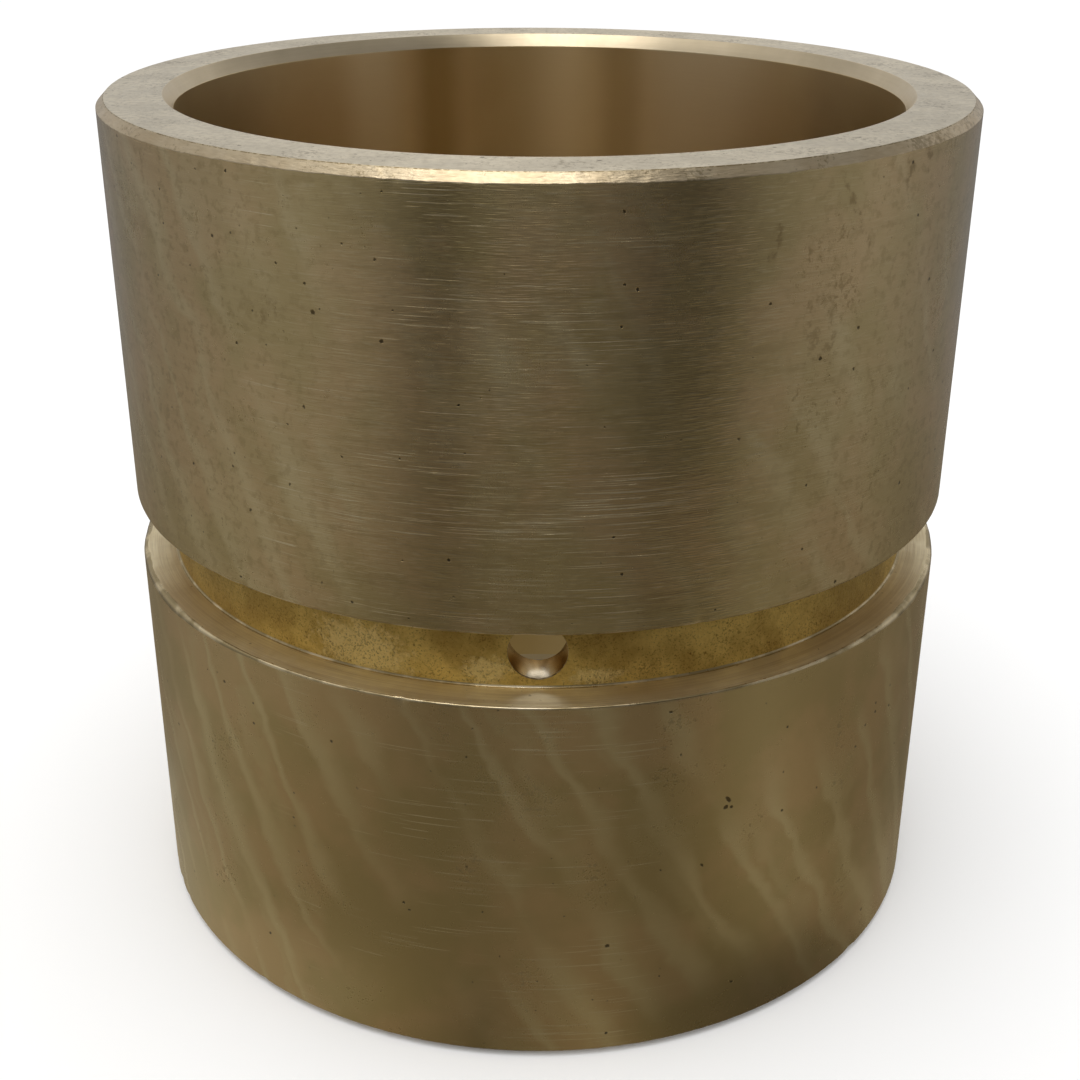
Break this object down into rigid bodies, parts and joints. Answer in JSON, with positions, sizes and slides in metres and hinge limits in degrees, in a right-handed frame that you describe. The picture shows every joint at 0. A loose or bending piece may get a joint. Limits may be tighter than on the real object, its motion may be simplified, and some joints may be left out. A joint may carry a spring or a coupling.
{
  "type": "sleeve bushing",
  "caption": "Plain turned bronze sleeve bushing with a smooth through bore, chamfered ends, a square grease groove round the outside at mid-length and a radial oil hole in its floor.",
  "frame": {"origin": "centre of the lower end face, on the bore axis", "axes": "+Z along the bore axis, up to the upper end face; the oil hole opens towards -Y"},
  "size_m": [0.12, 0.12, 0.12],
  "materials": {
    "bronze": "satin"
  },
  "bodies": {
    "root": {"sleeve": "bronze"}
  },
  "joints": []
}
